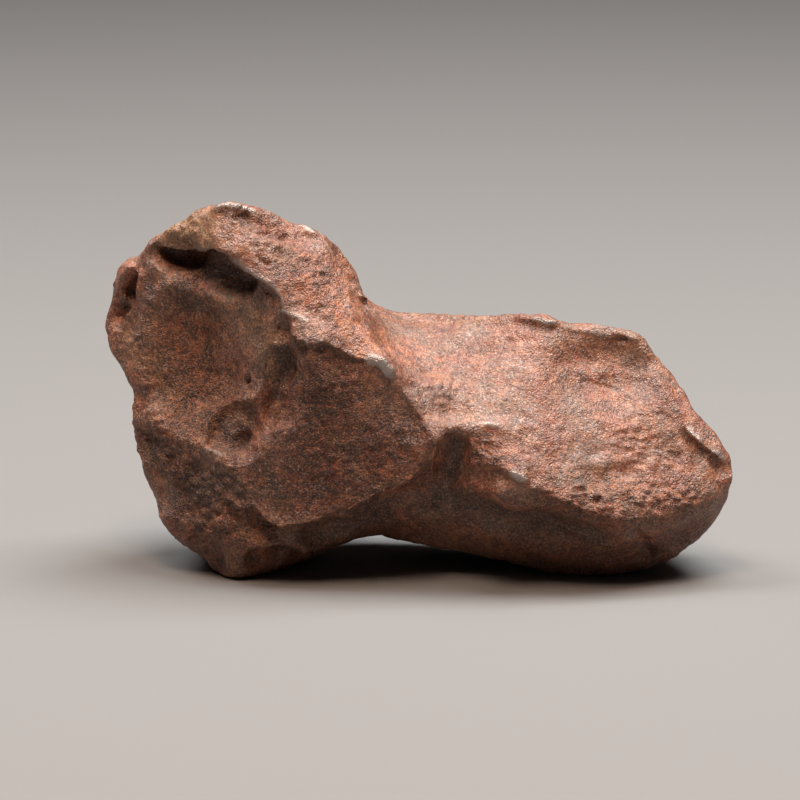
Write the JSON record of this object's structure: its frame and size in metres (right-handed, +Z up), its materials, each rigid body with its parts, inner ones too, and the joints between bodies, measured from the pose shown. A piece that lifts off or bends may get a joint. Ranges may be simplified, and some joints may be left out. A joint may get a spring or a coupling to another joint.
{
  "type": "iron meteorite",
  "caption": "Small rusty iron meteorite: a tall blocky head running into a flatter arm, with thumbprint hollows, worn ridges and a ledge.",
  "frame": {"origin": "bottom centre of the bounding box, in the plane of the two worn flats that the specimen rests on", "axes": "+X from the tall head to the arm's far end, -Y towards the side with the tall dark facet, +Z up"},
  "size_m": [0.0308, 0.015, 0.0188],
  "materials": {
    "rusted_iron": "weathered nickel-iron with a fine-grained red-brown rust skin, worn to dull metal on the ridges"
  },
  "bodies": {
    "root": {"meteorite": "rusted_iron"}
  },
  "joints": []
}
